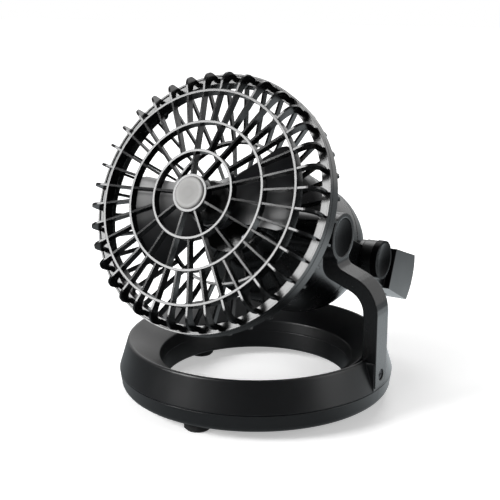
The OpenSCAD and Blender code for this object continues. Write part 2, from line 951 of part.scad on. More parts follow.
// ---------- motor ----------

module motor_shaft() {
    color(steel)
        head()
            translate([0, 0, shaft_back_z])
                cylinder(h = shaft_front_z - shaft_back_z, r = shaft_r);
}

module motor_armature() {
    bar_z = core_back_z - winding_over;
    bar_len = core_front_z - core_back_z + 2 * winding_over;
    color(copper)
        head()
            difference() {
                union() {
                    difference() {
                        translate([0, 0, core_back_z])
                            cylinder(h = core_front_z - core_back_z, r = core_r);
                        around(3)
                            translate([winding_r, -slot_w / 2, core_back_z - 1])
                                cube([core_r, slot_w, core_front_z - core_back_z + 2]);
                    }
                    translate([0, 0, bar_z])
                        cylinder(h = bar_len, r = winding_r);
                    cylinder(h = bar_z + bite, r = comm_r);
                }
                translate([0, 0, -1])
                    cylinder(h = bar_z + bar_len + 2, r = shaft_r + shaft_gap);
            }
}

module motor_can() {
    color(steel)
        head()
            difference() {
                union() {
                    translate([0, 0, motor_back_z])
                        cylinder(h = rear_hub_back_z - motor_back_z, r = motor_r);
                    translate([0, 0, rear_hub_back_z - bite])
                        cylinder(h = nose_t + bite, r = nose_r);
                }
                translate([0, 0, motor_back_z - 1])
                    cylinder(h = rear_hub_back_z - motor_back_z + 1 - motor_wall,
                        r = motor_r - motor_wall);
                translate([0, 0, motor_back_z])
                    cylinder(h = rear_hub_z - motor_back_z, r = bush_r + shaft_gap);
                around(2)
                    translate([motor_screw_place_r, 0, rear_hub_back_z - motor_wall - 1])
                        cylinder(h = motor_wall + 2, r = motor_screw_r + shaft_gap);
            }
}

module motor_magnets() {
    r = motor_r - motor_wall - 0.05;
    color(smoke)
        head()
            around(2, 90 - magnet_sweep / 2)
                translate([0, 0, core_back_z - 1])
                    rotate_extrude(angle = magnet_sweep)
                        translate([r - magnet_t, 0])
                            square([magnet_t, core_front_z - core_back_z + 2]);
}

module motor_bushes() {
    rear_z = motor_back_z - bell_t + bell_floor;
    color(brass)
        head() {
            tube(rear_hub_back_z - motor_wall, nose_t + motor_wall, bush_r, shaft_r + run_gap);
            tube(rear_z, motor_back_z + bell_spigot - rear_z, bush_r, shaft_r + run_gap);
        }
}

module motor_end_bell() {
    color(smoke)
        head()
            difference() {
                union() {
                    translate([0, 0, motor_back_z - bell_t])
                        cylinder(h = bell_t, r = motor_r);
                    translate([0, 0, motor_back_z - bite])
                        cylinder(h = bell_spigot + bite, r = motor_r - motor_wall - 0.1);
                }
                translate([0, 0, motor_back_z - bell_t + bell_floor])
                    cylinder(h = bell_spigot + bell_t, r = bush_r + shaft_gap);
            }
}

module motor_screws() {
    color(steel)
        head()
            around(2)
                translate([motor_screw_place_r, 0, rear_hub_z])
                    mirror([0, 0, 1])
                        screw(motor_screw_len, motor_screw_r - shaft_gap, motor_screw_head_r,
                            motor_screw_head_t);
}

// ---------- battery housing ----------

// Outside of the neck, shoulder and drum
module housing_solid() {
    rotate_extrude()
        polygon(concat(
            [[0, rear_hub_back_z], [neck_r - 1.5, rear_hub_back_z], [neck_r, rear_hub_back_z - 1.5]],
            arc(neck_r + neck_fillet_r, neck_fillet_z, neck_fillet_r, 180, 180 + shoulder_a, 5),
            arc(drum_r - shoulder_r, shoulder_z, shoulder_r, shoulder_a, 0, 6),
            [[drum_r, -drum_end], [0, -drum_end]]));
}

// Hollow of the neck around the motor
module neck_hollow() {
    in_r = neck_r - drum_wall;
    rotate_extrude()
        polygon([[0, rear_hub_back_z + 1], [in_r, rear_hub_back_z + 1],
            [in_r, neck_fillet_z - 1.4], [in_r + 4, -0.5], [33, -5.3], [33, bulkhead_z],
            [0, bulkhead_z]]);
}

// Bay for the cells
module battery_bay() {
    rotate_extrude()
        polygon([[0, bay_z], [bay_r - 2.6, bay_z], [bay_r, bay_z - 3.3], [bay_r, -drum_end - 1],
            [0, -drum_end - 1]]);
}

// Ribs that hold the cells at their outer sides
module cell_cradle() {
    around(3, -90)
        translate([cell_place_r + cell_r + 0.3, -cradle_t / 2, cradle_back_z])
            cube([drum_r - 1 - cell_place_r - cell_r - 0.3, cradle_t, bay_z - cradle_back_z + 1]);
}

// Side lug that carries the handle's hinge pin beside the door
module hinge_lug() {
    along_x(lug_root_x, lug_x - lug_root_x - 1)
        translate([-lug_bottom + lug_step, -drum_end + move_gap])
            square([lug_top + lug_bottom - 2 * lug_step, drum_end - move_gap - lug_step - lug_start_s]);
    along_x(drum_r + lug_clear, lug_x - drum_r - lug_clear) {
        translate([-lug_bottom, -hinge_s])
            square([lug_top + lug_bottom, hinge_s - lug_start_s]);
        translate([0, -hinge_s])
            circle(r = lug_bottom + lug_step);
    }
}

// Bayonet groove in the drum with its way in from the open end
module bayonet_groove() {
    first = bayonet_bearing - bayonet_margin;
    sweep = bayonet_w + bayonet_turn + 2 * bayonet_margin;
    around(bayonet_count) {
        translate([0, 0, bayonet_back_z - move_gap])
            rotate([0, 0, first])
                rotate_extrude(angle = sweep)
                    translate([bay_r - 1, 0])
                        square([bayonet_r + move_gap - bay_r + 1,
                            bayonet_front_z - bayonet_back_z + 2 * move_gap]);
        translate([0, 0, -drum_end - 1])
            rotate([0, 0, bayonet_bearing + bayonet_turn - bayonet_margin / 2])
                rotate_extrude(angle = bayonet_w + bayonet_margin)
                    translate([bay_r - 1, 0])
                        square([bayonet_r + move_gap - bay_r + 1,
                            drum_end + 1 + bayonet_back_z + move_gap]);
    }
}

module rear_housing() {
    slot_len = stem_len + switch_travel + 2 * move_gap;
    color(black)
        head()
            difference() {
                union() {
                    difference() {
                        union() {
                            housing_solid();
                            x_bar(boss_in_x, boss_x - boss_in_x, boss_r);
                            both_sides()
                                hinge_lug();
                        }
                        neck_hollow();
                        battery_bay();
                    }
                    cell_cradle();
                    around(4, 45)
                        translate([neck_screw_place_r, 0, neck_boss_back_z])
                            cylinder(h = rear_hub_back_z - neck_boss_back_z - rib_inset,
                                r = neck_boss_r);
                }
                x_bar(bolt_in_x - 4, boss_x, bolt_r + shaft_gap);
                along_x(nut_x - 8, nut_t + 8)
                    circle(r = nut_r + fit_gap, $fn = 6);
                around(4, 45)
                    translate([neck_screw_place_r, 0, neck_boss_back_z + 2])
                        cylinder(h = rear_hub_back_z, r = neck_screw_r);
                both_sides()
                    x_bar(drum_r, lug_x, hinge_pin_r + shaft_gap, 0, -hinge_s);
                bayonet_groove();
                translate([-knob_w / 2 - 1, switch_seat_y, switch_z - knob_len])
                    cube([knob_w + 2, drum_wall, 2 * knob_len]);
                translate([-stem_w / 2 - move_gap, drum_r - 4, switch_z - slot_len / 2])
                    cube([stem_w + 2 * move_gap, 5, slot_len]);
            }
}

module housing_screws() {
    color(steel)
        head()
            around(4, 45)
                translate([neck_screw_place_r, 0, rear_hub_z])
                    mirror([0, 0, 1])
                        screw(neck_screw_len, neck_screw_r - shaft_gap, neck_screw_head_r,
                            neck_screw_head_t);
}

module battery_cells() {
    color(silver)
        head()
            around(3, -90)
                translate([cell_place_r, 0, cell_back_z]) {
                    cylinder(h = cell_nub_t + bite, r = cell_nub_r);
                    translate([0, 0, cell_nub_t])
                        cylinder(h = cell_len - cell_nub_t, r = cell_r);
                }
}

// Stacked wire rings on a foot plate, one set for each cell
module contact_springs() {
    pitch = (bay_z - cell_front_z - 0.2) / spring_coils;
    color(steel)
        head()
            around(3, -90)
                translate([cell_place_r, 0, cell_front_z + 0.1])
                    difference() {
                        union() {
                            for (i = [0 : spring_coils - 1])
                                translate([0, 0, i * pitch])
                                    cylinder(h = pitch + bite * (spring_coils - 1 - i),
                                        r1 = spring_r - i * 0.2, r2 = spring_r + 1 - i * 0.2);
                        }
                        translate([0, 0, -1])
                            cylinder(h = spring_coils * pitch + 2, r = spring_r - 2 * spring_wire_r);
                    }
}

// ---------- battery door ----------

module battery_door() {
    in_a = door_wall;
    ledge_a = acos(ledge_r / (drum_r - in_a));
    color(black)
        head()
            difference() {
                union() {
                    rotate_extrude()
                        polygon(concat(
                            [[0, door_z], [drum_r, door_z]],
                            oval_arc(0, dome_z, drum_r, dome_b, 0, -90, 20)));
                    tube(door_z - bite, spigot_z - door_z + bite, spigot_r, spigot_in_r);
                    around(bayonet_count, bayonet_bearing)
                        translate([0, 0, bayonet_back_z])
                            rotate_extrude(angle = bayonet_w)
                                translate([spigot_r - 1, 0])
                                    square([bayonet_r - spigot_r + 1,
                                        bayonet_front_z - bayonet_back_z]);
                }
                translate([0, 0, contact_step_z])
                    cylinder(h = drum_end, r = door_bore_r);
                translate([0, 0, ledge_z])
                    cylinder(h = drum_end, r = contact_plate_r + fit_gap);
                rotate_extrude()
                    polygon(concat(
                        [[0, ledge_z + 1], [ledge_r, ledge_z + 1]],
                        oval_arc(0, dome_z, drum_r - in_a, dome_b - in_a, -ledge_a, -90, 14)));
            }
}

// Contact plate in the door with a raised pad for each cell
module door_contacts() {
    pad_z = cell_back_z - 0.1;
    color(brass)
        head()
            difference() {
                union() {
                    translate([0, 0, ledge_z])
                        cylinder(h = 2 * contact_t, r = contact_plate_r);
                    around(3, -90)
                        translate([cell_place_r, 0, ledge_z + 2 * contact_t - bite])
                            cylinder(h = pad_z - ledge_z - 2 * contact_t + bite, r = cell_nub_r);
                }
                translate([0, 0, ledge_z - 1])
                    cylinder(h = 2 * contact_t + 2, r = cell_nub_r);
            }
}

module door_gasket() {
    color(smoke)
        head()
            tube(door_z, gasket_t - 0.1, drum_r - 0.8, spigot_r + 0.1);
}

// ---------- switch ----------

module switch_body() {
    color(smoke)
        head()
            difference() {
                translate([-switch_box_w / 2, switch_box_y - switch_box_t,
                        switch_z - switch_box_len / 2])
                    cube([switch_box_w, switch_box_t, switch_box_len]);
                translate([-stem_w / 2 - move_gap, switch_seat_y - stem_depth - move_gap,
                        switch_z - stem_len / 2 - switch_travel / 2 - move_gap])
                    cube([stem_w + 2 * move_gap, 5, stem_len + switch_travel + 2 * move_gap]);
            }
}

// Ribbed slider, drawn at the off end of its travel
module switch_knob() {
    off_z = switch_z - switch_travel / 2;
    color(black)
        head()
            translate([0, 0, off_z]) {
                difference() {
                    translate([-knob_w / 2, switch_seat_y + move_gap, -knob_len / 2])
                        cube([knob_w, knob_t, knob_len]);
                    for (i = [0 : knob_ridges - 1])
                        translate([-knob_w / 2 - 1, switch_seat_y + move_gap + knob_t - 0.6,
                                -knob_len / 2 + 1.5 + i * 2.5])
                            cube([knob_w + 2, 1, 1]);
                }
                translate([-stem_w / 2, switch_seat_y - stem_depth, -stem_len / 2])
                    cube([stem_w, stem_depth + move_gap + bite, stem_len]);
            }
}

// ---------- handle ----------

// Share of the way from the block's front to its back corners at the distance s
function block_part(s) = (s - leg_start_s) / (grip_corner_s - leg_start_s);

// Height of the block's top face at the distance s
function block_top(s) = leg_top + (grip_top - leg_top) * block_part(s);

// Outline of the grip's block in (y, z) from the distance s behind the tilt axis; it widens backward
module block_outline(s) {
    bottom = leg_bottom + (grip_bottom - leg_bottom) * block_part(s);
    polygon(concat(
        [[block_top(s), -s]],
        arc(grip_mid, grip_round - grip_end, grip_round, grip_corner_a - 90, -grip_corner_a - 90, 8),
        [[-bottom, -s]]));
}

// Outline of the pad in (y, z), from its seat in the block's top face up to a rise above that face
module pad_outline(inset, rise) {
    front = grip_start + pad_inset + inset;
    back = grip_start + pad_inset + pad_w - inset;
    polygon([[block_top(front) - pad_inset, -front], [block_top(front) + rise, -front],
        [block_top(back) + rise, -back], [block_top(back) - pad_inset, -back]]);
}

// Outline of the neck in (y, z) between the hinge's eye and the grip's block
module neck_outline() {
    eye_half = hinge_eye_r - neck_edge;
    polygon([[eye_half, -hinge_s], [leg_top - neck_edge, -leg_start_s - 1],
        [-leg_bottom + neck_edge, -leg_start_s - 1], [-eye_half, -hinge_s]]);
}

module carry_handle() {
    color(black)
        head()
            difference() {
                union() {
                    both_sides() {
                        x_bar(cheek_x, cheek_t, hinge_eye_r, 0, -hinge_s);
                        along_x(cheek_x, neck_out_x - cheek_x)
                            neck_outline();
                        along_x(cheek_x, handle_x - cheek_x)
                            block_outline(leg_start_s);
                    }
                    along_x(-cheek_x - 1, 2 * cheek_x + 2)
                        block_outline(grip_start);
                }
                both_sides() {
                    x_bar(cheek_x - 1, cheek_t, hinge_pin_r + run_gap, 0, -hinge_s);
                    x_bar(hinge_seat_x, cheek_t, hinge_counterbore_r, 0, -hinge_s);
                }
                along_x(-pad_half, 2 * pad_half)
                    pad_outline(0, 1);
            }
}

// Soft strip let into the top of the grip
module handle_pad() {
    color(smoke)
        head()
            along_x(-pad_half + fit_gap, 2 * (pad_half - fit_gap))
                pad_outline(fit_gap, pad_proud);
}

module hinge_pins() {
    pin_in_x = drum_r + lug_clear + 0.2;
    head_x = hinge_seat_x + move_gap;
    color(steel)
        head()
            both_sides() {
                x_bar(pin_in_x, head_x + hinge_head_t / 2 - pin_in_x, hinge_pin_r, 0, -hinge_s);
                x_bar(head_x, hinge_head_t, hinge_head_r, 0, -hinge_s);
            }
}

module hinge_caps() {
    color(black)
        head()
            both_sides()
                translate([0, 0, -hinge_s]) {
                    dished_cap(cheek_out_x, hinge_cap_t, hinge_cap_r, hinge_cap_rim,
                        hinge_cap_dish);
                    x_bar(cheek_out_x - hinge_cap_spigot, hinge_cap_spigot + bite,
                        hinge_counterbore_r - fit_gap);
                }
}

base_upper_shell();
base_lower_shell();
rubber_feet();
base_screws();
support_arm();
arm_screw();
pivot_cap();
pivot_bolt();
pivot_nut();
spring_washer();
friction_washer();
front_grille();
centre_badge();
rear_grille();
grille_screws();
fan_rotor();
spinner_cap();
motor_shaft();
motor_armature();
motor_can();
motor_magnets();
motor_bushes();
motor_end_bell();
motor_screws();
rear_housing();
housing_screws();
battery_cells();
contact_springs();
battery_door();
door_contacts();
door_gasket();
switch_body();
switch_knob();
carry_handle();
handle_pad();
hinge_pins();
hinge_caps();
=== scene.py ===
import json
import math

import bmesh
import bpy
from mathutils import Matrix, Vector


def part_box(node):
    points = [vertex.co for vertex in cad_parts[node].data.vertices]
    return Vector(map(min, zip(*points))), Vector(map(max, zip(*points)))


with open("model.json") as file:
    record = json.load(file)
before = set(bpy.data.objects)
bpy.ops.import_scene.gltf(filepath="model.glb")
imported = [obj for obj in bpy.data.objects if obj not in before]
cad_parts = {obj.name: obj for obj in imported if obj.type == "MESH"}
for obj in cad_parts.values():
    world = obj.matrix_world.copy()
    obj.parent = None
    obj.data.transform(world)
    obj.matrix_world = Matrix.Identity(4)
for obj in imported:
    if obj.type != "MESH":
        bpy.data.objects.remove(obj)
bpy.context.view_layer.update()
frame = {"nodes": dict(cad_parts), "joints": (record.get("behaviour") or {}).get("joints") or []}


# ---------- Base ring ----------
# The base is a hollow ring of two shells, injection-moulded in ABS that is black right through.
# The mould was spark-eroded to a fine satin grain, so the shells shine softly. The lower shell is
# pulled up against posts in the upper one, and their seam runs round the outside.

class Number:
    """One number that varies over a surface. Sums and products of such numbers add Math nodes."""

    def __init__(self, finish, socket):
        self.finish = finish
        self.socket = socket

    def _math(self, operation, a, b):
        made = self.finish.node("ShaderNodeMath", {"operation": operation}, {0: a, 1: b})
        return Number(self.finish, made.outputs[0])

    def __add__(self, other):
        return self._math("ADD", self, other)

    def __radd__(self, other):
        return self._math("ADD", other, self)

    def __sub__(self, other):
        return self._math("SUBTRACT", self, other)

    def __rsub__(self, other):
        return self._math("SUBTRACT", other, self)

    def __mul__(self, other):
        return self._math("MULTIPLY", self, other)

    def __rmul__(self, other):
        return self._math("MULTIPLY", other, self)


class Nodes:
    """A tree of shader nodes, and the one method that adds a node to it."""

    def __init__(self, tree):
        self.tree = tree

    def node(self, kind, settings=None, inputs=None):
        made = self.tree.nodes.new(kind)
        for key, value in (settings or {}).items():
            setattr(made, key, value)
        for key, value in (inputs or {}).items():
            self.feed(made.inputs[key], value)
        return made

    def feed(self, socket, value):
        """Links a value to a socket, or sets it there when it is a plain number or colour."""
        if isinstance(value, Number):
            value = value.socket
        if isinstance(value, bpy.types.NodeSocket):
            self.tree.links.new(value, socket)
        else:
            socket.default_value = value

    def spread(self, value, low, high, new_low=0, new_high=1):
        """Number that runs from new_low to new_high as value runs from low to high."""
        made = self.node("ShaderNodeMapRange", {"clamp": True}, {
            "Value": value, "From Min": low, "From Max": high,
            "To Min": new_low, "To Max": new_high})
        return Number(self, made.outputs["Result"])


class Finish(Nodes):
    """The finish of a piece: its material, with the parts that most finishes share."""

    def __init__(self, name, constants):
        self.material = bpy.data.materials.new(name)
        self.material.use_nodes = True
        super().__init__(self.material.node_tree)
        self.shader = self.tree.nodes["Principled BSDF"]
        for socket, value in constants.items():
            self.shader.inputs[socket].default_value = value

    def place(self, stretch=(1, 1, 1)):
        """Coordinates that are fixed to the piece, in metres times the stretch."""
        where = self.node("ShaderNodeTexCoord")
        moved = self.node("ShaderNodeMapping", inputs={
            "Vector": where.outputs["Object"], "Scale": stretch})
        return moved.outputs["Vector"]

    def noise(self, size, detail=3, place=None):
        """Noise from 0 to 1 whose spots are about that size in metres."""
        made = self.node("ShaderNodeTexNoise", inputs={
            "Vector": place or self.place(), "Scale": 1 / size, "Detail": detail})
        return Number(self, made.outputs["Fac"])

    def vary(self, noise, low, high):
        """Number from low to high that follows the noise over its usual range."""
        return self.spread(noise, 0.3, 0.7, low, high)

    def edges(self, radius):
        """Normal that rounds the piece's edges, and a mask that is 1 on the sharp ones."""
        soft = self.node("ShaderNodeBevel", {"samples": 6}, {"Radius": radius})
        real = self.node("ShaderNodeNewGeometry")
        dot = self.node("ShaderNodeVectorMath", {"operation": "DOT_PRODUCT"}, {
            0: soft.outputs["Normal"], 1: real.outputs["Normal"]})
        turned = self.spread(Number(self, dot.outputs["Value"]), low=0.999, high=0.9)
        return soft.outputs["Normal"], turned

    def mix(self, factor, a, b):
        """Colour between a and b."""
        made = self.node("ShaderNodeMix", {"data_type": "RGBA"}, {"Factor": factor, "A": a, "B": b})
        return made.outputs["Result"]

    def relief(self, height, depth, normal):
        """Normal with the height as fine relief, depth metres deep."""
        made = self.node("ShaderNodeBump", inputs={
            "Height": height, "Distance": depth, "Normal": normal})
        return made.outputs["Normal"]


def shade(colour, factor):
    """Colour as the shader takes it, made lighter or darker by the factor."""
    return tuple(min(1, part * factor) for part in colour) + (1,)


def moulded(name, colour, roughness, grain, depth, edge=0.0004, gloss=0.35):
    """Moulded plastic: satin grain, faint flow clouds, a few hairline scuffs and rubbed edges."""
    made = Finish(name, {"IOR": 1.5, "Specular IOR Level": gloss})
    normal, rubbed = made.edges(edge)
    cloud = made.noise(size=0.03, detail=4)
    patch = made.noise(size=0.005)
    pits = made.noise(grain, detail=2)
    hairs = made.noise(size=0.0015, detail=1, place=made.place(stretch=(1, 0.12, 1)))
    scuffs = made.spread(hairs, 0.72, 0.78) * made.spread(patch, 0.5, 0.6)
    wear = rubbed * made.spread(patch, 0.42, 0.62, 0.15, 0.8)
    flow = made.mix(cloud, shade(colour, 0.8), shade(colour, 1.25))
    made.feed(made.shader.inputs["Base Color"], made.mix(wear, flow, shade(colour, 3)))
    rough = made.vary(cloud, roughness * 0.88, roughness * 1.12)
    made.feed(made.shader.inputs["Roughness"], rough + (pits - 0.5) * 0.06 + scuffs * 0.12)
    made.feed(made.shader.inputs["Normal"], made.relief(pits - scuffs, depth, normal))
    return made


def dress(finish, *names):
    """Gives the finish to CAD pieces."""
    for name in names:
        for place in frame["nodes"][name].material_slots:
            place.material = finish.material


satin_base = moulded("satin_base_abs", (0.0036, 0.004, 0.0048), roughness=0.32,
                     grain=0.0005, depth=0.00002, edge=0.0008, gloss=0.42)
dress(satin_base, "base_upper_shell", "base_lower_shell")


# ---------- Feet ----------
# Three round feet of soft black rubber are compression-moulded and glued into shallow seats in the
# lower shell. Rubber has no shine of its own, and its rim picks up a little grey dust.

def rubbery(name, colour, grain):
    """Matt rubber with a pebbled skin that is dusty on its edges."""
    made = Finish(name, {"IOR": 1.5, "Specular IOR Level": 0.3})
    normal, rubbed = made.edges(radius=0.0004)
    bloom = made.noise(size=0.004, detail=4)
    pebbles = made.noise(grain, detail=2)
    dust = made.spread(bloom, 0.5, 0.75, 0, 0.5) + rubbed * 0.4
    tone = made.mix(dust, shade(colour, 1), shade(colour, 2.6))
    made.feed(made.shader.inputs["Base Color"], tone)
    made.feed(made.shader.inputs["Roughness"], made.vary(bloom, 0.6, 0.82))
    made.feed(made.shader.inputs["Normal"], made.relief(pebbles, depth=0.00004, normal=normal))
    return made


foot_rubber = rubbery("foot_rubber", (0.013, 0.013, 0.0135), grain=0.0006)
dress(foot_rubber, "rubber_feet")


# ---------- Screws of the base ----------
# Three cross-head screws for plastic, cold-headed from steel wire and plated with bright zinc,
# hold the shells together from below. The plating is a little blue and cloudy.

def metal(name, colour, roughness, grain=0.0004, depth=0.000006, edge=0.0002):
    """Metal with cloudy plating or oxide, a fine grain, and edges polished by use."""
    made = Finish(name, {"Metallic": 1})
    normal, rubbed = made.edges(edge)
    cloud = made.noise(size=0.004, detail=4)
    marks = made.noise(grain)
    tone = made.mix(cloud, shade(colour, 0.78), shade(colour, 1.12))
    made.feed(made.shader.inputs["Base Color"], made.mix(rubbed * 0.6, tone, shade(colour, 1.4)))
    rough = made.vary(cloud, roughness * 1.2, roughness * 0.8)
    made.feed(made.shader.inputs["Roughness"], rough + (marks - 0.5) * 0.12)
    made.feed(made.shader.inputs["Normal"], made.relief(marks, depth, normal))
    return made


bright_zinc = metal("bright_zinc", (0.52, 0.54, 0.58), roughness=0.3)
dress(bright_zinc, "base_screws")


# ---------- Arm ----------
# The arm is one thick strap of black ABS that slides down into a slot in the ring and rises to a
# round eye. Its mould was polished a little finer than the base's, and its long edges are rounded.
# One black-oxide screw pins it in its slot, and a dished cap snaps over the eye's bolt.

satin_black = (0.003, 0.0033, 0.0038)
satin_arm = moulded("satin_arm_abs", satin_black, roughness=0.24,
                    grain=0.0004, depth=0.000012, edge=0.0011, gloss=0.42)
dress(satin_arm, "support_arm")

deep_black = (0.003, 0.0032, 0.0036)
cap_black = moulded("cap_black_abs", deep_black, roughness=0.2,
                    grain=0.0004, depth=0.000008, gloss=0.03)
dress(cap_black, "pivot_cap")

black_oxide = metal("black_oxide_steel", (0.05, 0.05, 0.055), roughness=0.42)
dress(black_oxide, "arm_screw")


# ---------- Tilt joint ----------
# A zinc-plated bolt runs from the arm's eye through the drum's boss to a captive nut. A blued
# spring washer under its head and a pressed brass washer between the plastic faces give the
# friction that holds the head at its angle.

dress(bright_zinc, "pivot_bolt", "pivot_nut")

blued_spring = metal("blued_spring_steel", (0.09, 0.11, 0.17), roughness=0.36)
dress(blued_spring, "spring_washer")

brass = metal("pressed_brass", (0.72, 0.5, 0.2), roughness=0.34, grain=0.0006)
dress(brass, "friction_washer")


# ---------- Rear grille ----------
# The rear half of the cage is one moulding of glossier black plastic: a hub plate, straight ribs
# and a deep rim. Thin ribs cool fast, so faint flow marks cross them.

cage_black = moulded("cage_black_plastic", deep_black, roughness=0.2,
                     grain=0.0007, depth=0.000004, edge=0.0003, gloss=0.42)
dress(cage_black, "rear_grille")


# ---------- Motor ----------
# A small direct-current motor hangs behind the hub plate on two screws. Its can is deep-drawn steel
# with bright zinc, and holds two ferrite magnets. The armature is a stack of steel sheets wound
# with enamelled copper on a ground steel shaft, which runs in two sintered bronze bushes.

tilt_point = Vector(next(j for j in frame["joints"] if j["name"] == "head_tilt")["pos_m"])
fan_axis = Vector(next(j for j in frame["joints"] if j["name"] == "rotor_spin")["axis"])
head_turn = (math.pi / 2 - math.asin(fan_axis.z), 0, 0)


def head_place(made):
    """Coordinates of the tilted head: Z runs forward along the fan axis from the tilt axis."""
    where = made.node("ShaderNodeTexCoord")
    turned = made.node("ShaderNodeMapping", {"vector_type": "TEXTURE"}, {
        "Vector": where.outputs["Object"], "Location": tilt_point, "Rotation": head_turn})
    return turned.outputs["Vector"]


def along_axis(made):
    """Distance along the fan axis in front of the tilt axis."""
    parts = made.node("ShaderNodeSeparateXYZ", inputs={"Vector": head_place(made)})
    return Number(made, parts.outputs["Z"])


def from_axis(made):
    """Distance from the fan axis."""
    flat = made.node("ShaderNodeVectorMath", {"operation": "MULTIPLY"}, {
        0: head_place(made), 1: (1, 1, 0)})
    length = made.node("ShaderNodeVectorMath", {"operation": "LENGTH"}, {
        0: flat.outputs["Vector"]})
    return Number(made, length.outputs["Value"])


def rings(made, size):
    """Noise in fine rings round the fan axis, as a lathe, a press or a polisher leaves them."""
    where = made.node("ShaderNodeCombineXYZ", inputs={"X": from_axis(made), "Y": along_axis(made)})
    return made.noise(size, detail=2, place=where.outputs["Vector"])


def ringed(name, colour, roughness, size, depth=0.000008, metallic=1, edge=0.0003):
    """Metal, or lacquer on it, with fine rings of that size round the fan axis."""
    made = Finish(name, {"Metallic": metallic})
    normal, rubbed = made.edges(edge)
    cloud = made.noise(size=0.006, detail=4)
    marks = rings(made, size)
    tone = made.mix(cloud * 0.5 + marks * 0.5, shade(colour, 0.8), shade(colour, 1.15))
    made.feed(made.shader.inputs["Base Color"], made.mix(rubbed * 0.5, tone, shade(colour, 1.35)))
    rough = made.vary(marks, roughness * 0.75, roughness * 1.25)
    made.feed(made.shader.inputs["Roughness"], rough)
    made.feed(made.shader.inputs["Normal"], made.relief(marks, depth, normal))
    return made


drawn_can = ringed("drawn_can_zinc", (0.5, 0.51, 0.53), roughness=0.3, size=0.0005)
dress(drawn_can, "motor_can")

ground_shaft = ringed("ground_shaft_steel", (0.6, 0.6, 0.61), roughness=0.2,
                      size=0.0002, depth=0.000002)
dress(ground_shaft, "motor_shaft")

ferrite = moulded("ferrite", (0.02, 0.02, 0.021), roughness=0.6,
                  grain=0.0004, depth=0.00004, edge=0.0003, gloss=0.4)
dress(ferrite, "motor_magnets")

bronze = metal("sintered_bronze", (0.42, 0.26, 0.13), roughness=0.48,
               grain=0.0003, depth=0.00003)
dress(bronze, "motor_bushes")

core_back = 0.006
core_front = 0.022
core_fade = 0.0002
armature = Finish("wound_armature", {"Metallic": 1})
normal, rubbed = armature.edges(radius=0.0002)
distance = along_axis(armature)
wound = armature.spread(distance, core_back - core_fade, core_back, 1, 0) \
    + armature.spread(distance, core_front, core_front + core_fade)
# The turns of wire lie about 1 mm apart, and the sheets of the core half as far.
across = {"wave_type": "BANDS", "bands_direction": "Z"}
turns = armature.node("ShaderNodeTexWave", across, {
    "Vector": head_place(armature), "Scale": 320, "Distortion": 1.5, "Detail": 1})
layers = armature.node("ShaderNodeTexWave", across, {
    "Vector": head_place(armature), "Scale": 640})
sheets = Number(armature, layers.outputs["Fac"])
wire = Number(armature, turns.outputs["Fac"])
copper_tone = armature.mix(wire, (0.3, 0.07, 0.02, 1), (0.75, 0.3, 0.12, 1))
sheet_tone = armature.mix(sheets, (0.16, 0.16, 0.17, 1), (0.42, 0.42, 0.44, 1))
armature.feed(armature.shader.inputs["Base Color"], armature.mix(wound, sheet_tone, copper_tone))
varnish = armature.vary(armature.noise(size=0.001), 0.25, 0.45)
armature.feed(armature.shader.inputs["Roughness"], varnish)
ridges = wire * wound + sheets * (1 - wound)
armature.feed(armature.shader.inputs["Normal"], armature.relief(ridges, 0.00008, normal))
dress(armature, "motor_armature")

nylon = moulded("black_nylon", (0.014, 0.014, 0.015), roughness=0.45,
                grain=0.0005, depth=0.00002, edge=0.0003, gloss=0.4)
dress(nylon, "motor_end_bell")
dress(bright_zinc, "motor_screws")


# ---------- Fan ----------
# The two-blade fan is moulded in dark smoke-grey plastic with a polished face, and is pressed on
# the motor's shaft. A glossy domed cap closes its hub. Air leaves faint dust along the blades.

dust_start = 0.04
blade_tip = 0.054
smoke = Finish("smoke_plastic", {"IOR": 1.5, "Specular IOR Level": 0.4})
normal, rubbed = smoke.edges(radius=0.0004)
haze = smoke.noise(size=0.02, detail=4)
outer = smoke.spread(from_axis(smoke), dust_start, blade_tip)
dust = smoke.spread(haze, 0.45, 0.7, 0, 0.1) * outer
smoke.feed(smoke.shader.inputs["Base Color"], smoke.mix(
    dust + rubbed * 0.3, (0.004, 0.0043, 0.0055, 1), (0.02, 0.02, 0.021, 1)))
smoke.feed(smoke.shader.inputs["Roughness"], smoke.spread(haze, 0.2, 0.8, 0.27, 0.29) + dust * 0.1)
grain = smoke.noise(size=0.0006, detail=2)
smoke.feed(smoke.shader.inputs["Normal"], smoke.relief(grain, 0.000003, normal))
dress(smoke, "fan_rotor")

polished_black = moulded("polished_black", (0.005, 0.0051, 0.0055), roughness=0.18,
                         grain=0.0012, depth=0.000003, gloss=0.5)
dress(polished_black, "spinner_cap")


# ---------- Front grille ----------
# The front half of the cage has three rings on radial ribs, and its outer fins bow forward and curl
# back in to the rim. It is moulded like the rear half, which four zinc-plated screws pull up to it.
# The round badge is a plain disc with a spun face under matt silver lacquer, glued in the hub.

dress(cage_black, "front_grille")
dress(bright_zinc, "grille_screws")

spun_silver = ringed("spun_silver", (0.25, 0.248, 0.243), roughness=0.6,
                     size=0.00025, depth=0.000002, metallic=0.1)
dress(spun_silver, "centre_badge")


# ---------- Battery housing ----------
# The drum, neck and hinge lugs are one satin black ABS moulding, screwed to the rear grille by four
# zinc-plated screws. Nickel-plated wire springs press on the tops of three D cells, whose plain
# sleeves are shrunk over steel cans.

satin_drum = moulded("satin_drum_abs", satin_black, roughness=0.26,
                     grain=0.0005, depth=0.000015, edge=0.0006)
dress(satin_drum, "rear_housing")
dress(bright_zinc, "housing_screws")

nickel = metal("nickel_plate", (0.6, 0.57, 0.5), roughness=0.22, grain=0.0003, depth=0.000003)
dress(nickel, "contact_springs")

